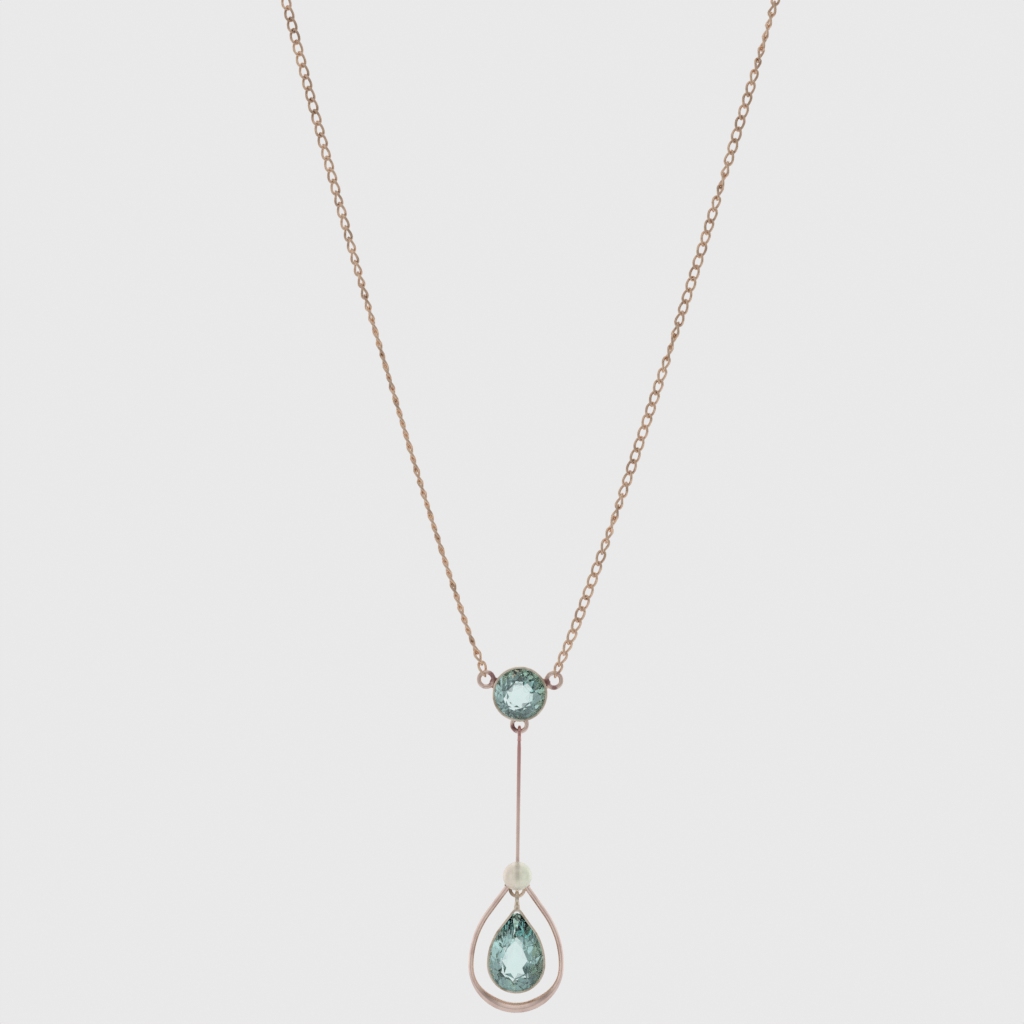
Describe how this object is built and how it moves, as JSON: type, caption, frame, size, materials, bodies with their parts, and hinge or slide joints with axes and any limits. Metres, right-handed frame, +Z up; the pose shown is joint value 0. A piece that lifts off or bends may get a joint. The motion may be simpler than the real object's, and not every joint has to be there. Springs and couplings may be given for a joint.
{
  "type": "y necklace",
  "caption": "Fine gold curb chain in a Y, joined by a round blue-green stone in a collet, with a long bar drop, a pearl, and a pear-shaped stone swinging in an open pear frame.",
  "frame": {"origin": "middle of the neck hollow, level with the clasp at the nape", "axes": "+X to the viewer's right, +Y from the pendant towards the nape, +Z up; the pendant hangs in front at -Y"},
  "size_m": [0.085, 0.1005, 0.1631],
  "materials": {
    "rose_gold": "polished rose gold, softly scratched, with bright edges",
    "chain_gold": "polished yellow-pink gold wire",
    "blue_green_stone": "clear faceted stone of pale blue-green",
    "pearl": "cream nacre with a soft green and pink lustre"
  },
  "bodies": {
    "necklace": {"collet": "rose_gold", "round_stone": "blue_green_stone", "link_front_left": "chain_gold", "link_front_right": "chain_gold", "chain_left": "chain_gold", "chain_right": "chain_gold", "tag_ring_left": "chain_gold", "tag_ring_right": "chain_gold", "clasp": "chain_gold"},
    "drop": {"drop_frame": "rose_gold", "pearl": "pearl"},
    "pear": {"pear_collet": "rose_gold", "pear_stone": "blue_green_stone"}
  },
  "joints": [
    {"name": "drop_swing", "type": "hinge", "parent": "necklace", "child": "drop", "pos_m": [0, -0.048, -0.12918], "axis": [1, 0, 0], "range_deg": [-90, 90]},
    {"name": "pear_swing", "type": "hinge", "parent": "drop", "child": "pear", "pos_m": [0, -0.048, -0.1473], "axis": [1, 0, 0], "range_deg": [-65, 85]}
  ]
}
